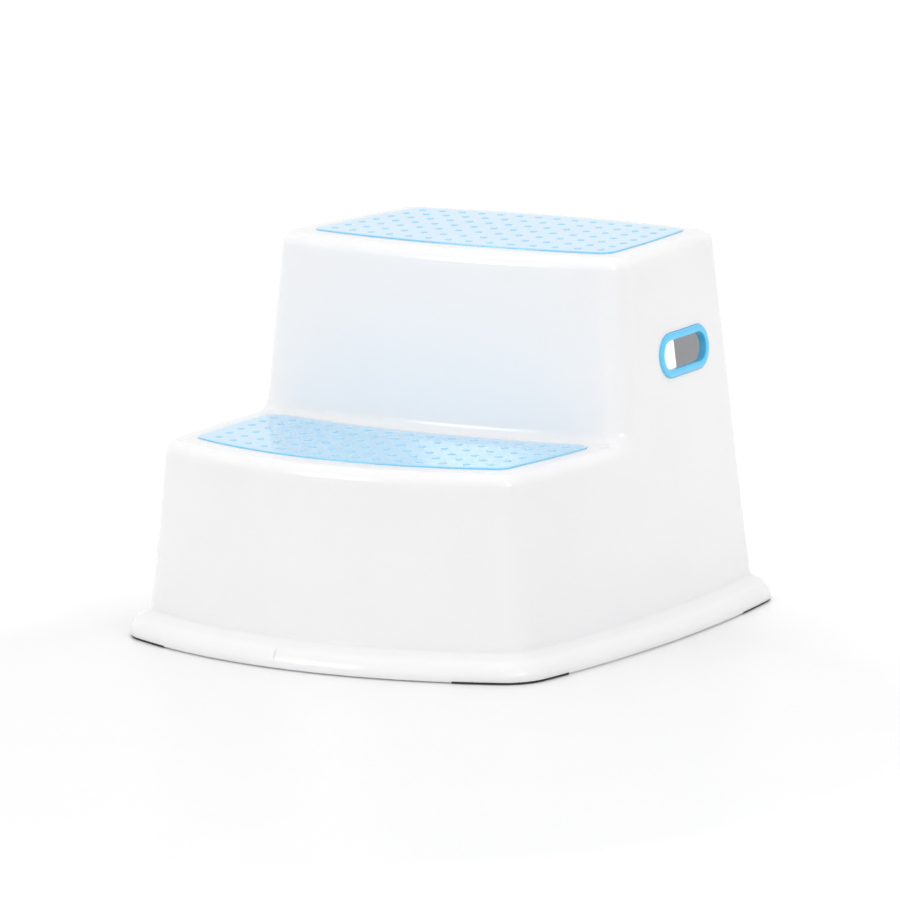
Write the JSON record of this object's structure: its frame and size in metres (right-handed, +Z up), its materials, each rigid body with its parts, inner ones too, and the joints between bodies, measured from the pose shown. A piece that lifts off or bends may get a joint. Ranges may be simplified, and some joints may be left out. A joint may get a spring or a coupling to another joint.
{
  "type": "step stool",
  "caption": "Moulded plastic step stool with a low and a high step, ribbed hollow shell, dotted tread mats, lined hand holes and rubber foot pads.",
  "frame": {"origin": "on the floor, below the middle of the object's box", "axes": "+X to the right of someone facing the steps, -Y towards the low step in front, +Z up"},
  "size_m": [0.3392, 0.371, 0.2505],
  "materials": {
    "white_shell": "glossy injection-moulded polypropylene, white",
    "blue_mat": "smooth soft thermoplastic rubber, light blue, with raised dots",
    "blue_grip": "smooth satin plastic, light blue",
    "black_pad": "matt black rubber"
  },
  "bodies": {
    "root": {"shell": "white_shell", "lower_tread_mat": "blue_mat", "upper_tread_mat": "blue_mat", "left_grip": "blue_grip", "right_grip": "blue_grip", "front_left_foot_pad": "black_pad", "front_right_foot_pad": "black_pad", "back_left_foot_pad": "black_pad", "back_right_foot_pad": "black_pad"}
  },
  "joints": []
}
